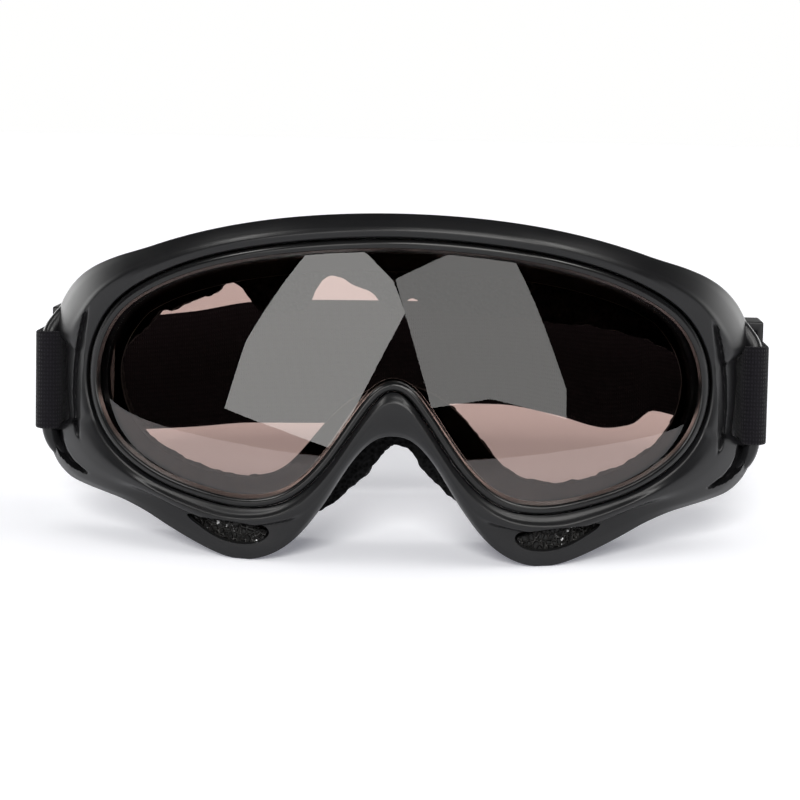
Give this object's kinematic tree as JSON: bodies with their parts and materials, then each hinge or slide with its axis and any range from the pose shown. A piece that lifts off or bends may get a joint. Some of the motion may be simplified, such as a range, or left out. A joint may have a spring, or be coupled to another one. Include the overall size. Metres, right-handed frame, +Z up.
{
  "type": "motorcycle goggles",
  "caption": "Wraparound riding goggles with a curved tinted lens in a black moulded frame, face foam and an elastic head strap with adjusters.",
  "frame": {"origin": "middle of the footprint, at the height of the two lower lobes that the goggles stand on", "axes": "+X right in a front view, +Y from the lens towards the face and the strap, +Z up"},
  "size_m": [0.1908, 0.1404, 0.0858],
  "materials": {
    "frame_plastic": "satin black moulded plastic",
    "rim_plastic": "semi-gloss black bead",
    "lens_tint": "clear gloss, brown tint",
    "skirt_rubber": "matt black, soft",
    "foam": "open-cell black foam",
    "webbing": "matt black elastic weave",
    "slider_plastic": "satin black moulded plastic"
  },
  "bodies": {
    "frame": {"front_frame": "frame_plastic", "lens_rim": "rim_plastic", "lens": "lens_tint", "lens_seat": "skirt_rubber", "face_skirt": "skirt_rubber", "face_flange": "skirt_rubber", "face_foam": "foam", "top_vent_foam": "foam", "left_vent_foam": "foam", "right_vent_foam": "foam", "left_strap_loop": "webbing", "right_strap_loop": "webbing"},
    "strap": {"left_strap_side": "webbing", "right_strap_side": "webbing", "left_strap_tail": "webbing", "right_strap_tail": "webbing"},
    "strap_rear": {"strap_rear": "webbing"},
    "left_slider": {"left_slider": "slider_plastic"},
    "right_slider": {"right_slider": "slider_plastic"}
  },
  "joints": [
    {"name": "strap_tilt", "type": "hinge", "parent": "frame", "child": "strap", "pos_m": [0, -0.0058, 0.039], "axis": [1, 0, 0], "range_deg": [-20, 20], "stiffness_Nm_per_rad": 0.6},
    {"name": "strap_stretch", "type": "slide", "parent": "strap", "child": "strap_rear", "axis": [0, 1, 0], "range_m": [0, 0.04], "stiffness_N_per_m": 120, "deforming": ["left_strap_side", "right_strap_side"]},
    {"name": "left_slider_slide", "type": "slide", "parent": "strap", "child": "left_slider", "axis": [0, 1, 0], "range_m": [-0.01, 0.011], "deforming": ["left_strap_tail"]},
    {"name": "right_slider_slide", "type": "slide", "parent": "strap", "child": "right_slider", "axis": [0, 1, 0], "range_m": [-0.01, 0.011], "deforming": ["right_strap_tail"]}
  ]
}
